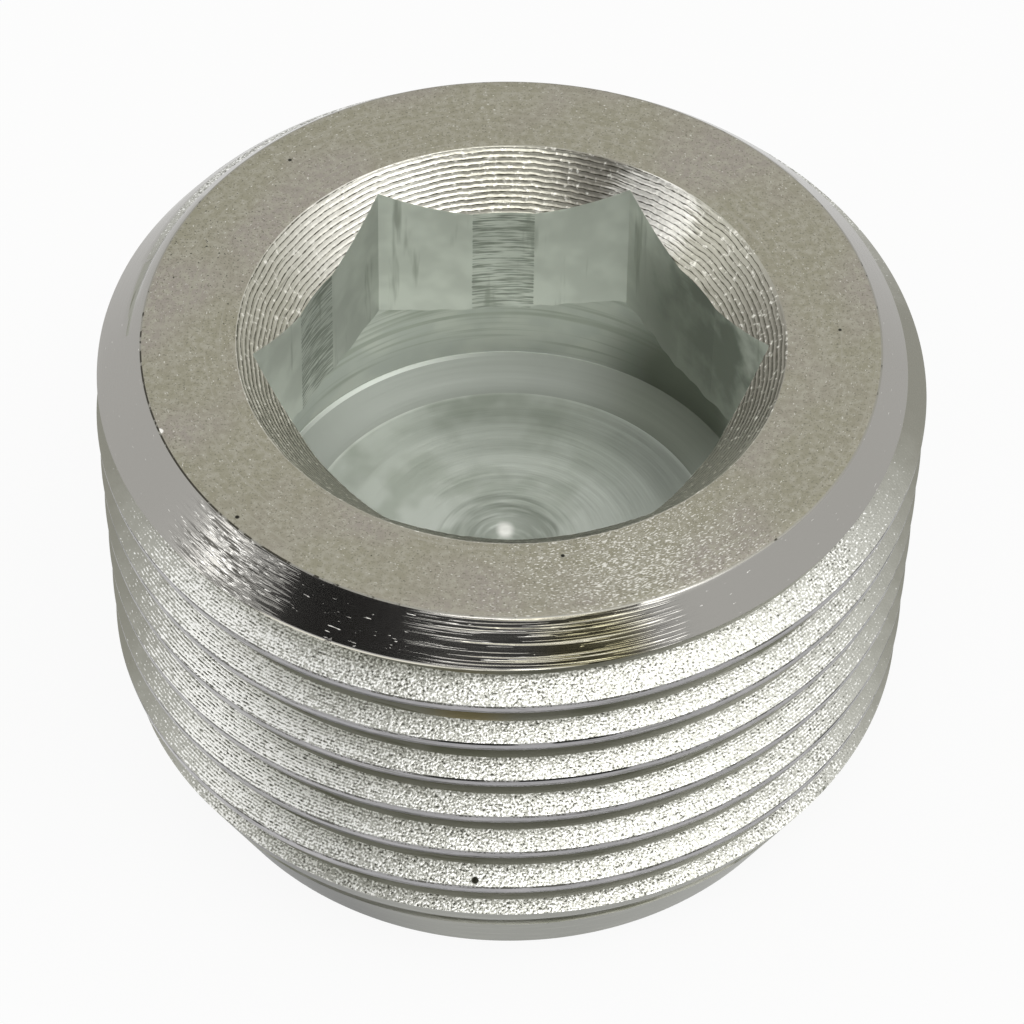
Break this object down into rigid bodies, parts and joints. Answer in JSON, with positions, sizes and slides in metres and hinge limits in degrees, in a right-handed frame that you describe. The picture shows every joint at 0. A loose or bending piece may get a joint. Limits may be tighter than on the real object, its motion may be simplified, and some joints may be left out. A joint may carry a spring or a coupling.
{
  "type": "hex socket plug",
  "caption": "Flush taper plug with a fine male pipe thread, a bevelled rim and a deep countersunk hexagon socket in its wide end.",
  "frame": {"origin": "on the axis, in the plane of the small flat end that the plug stands on", "axes": "+Z along the axis towards the wide end with the socket; one corner of the hexagon is 2.5 degrees round from +X"},
  "size_m": [0.0263, 0.0263, 0.017],
  "materials": {
    "zinc_steel": "bright zinc plating over turned steel"
  },
  "bodies": {
    "root": {"plug_body": "zinc_steel"}
  },
  "joints": []
}
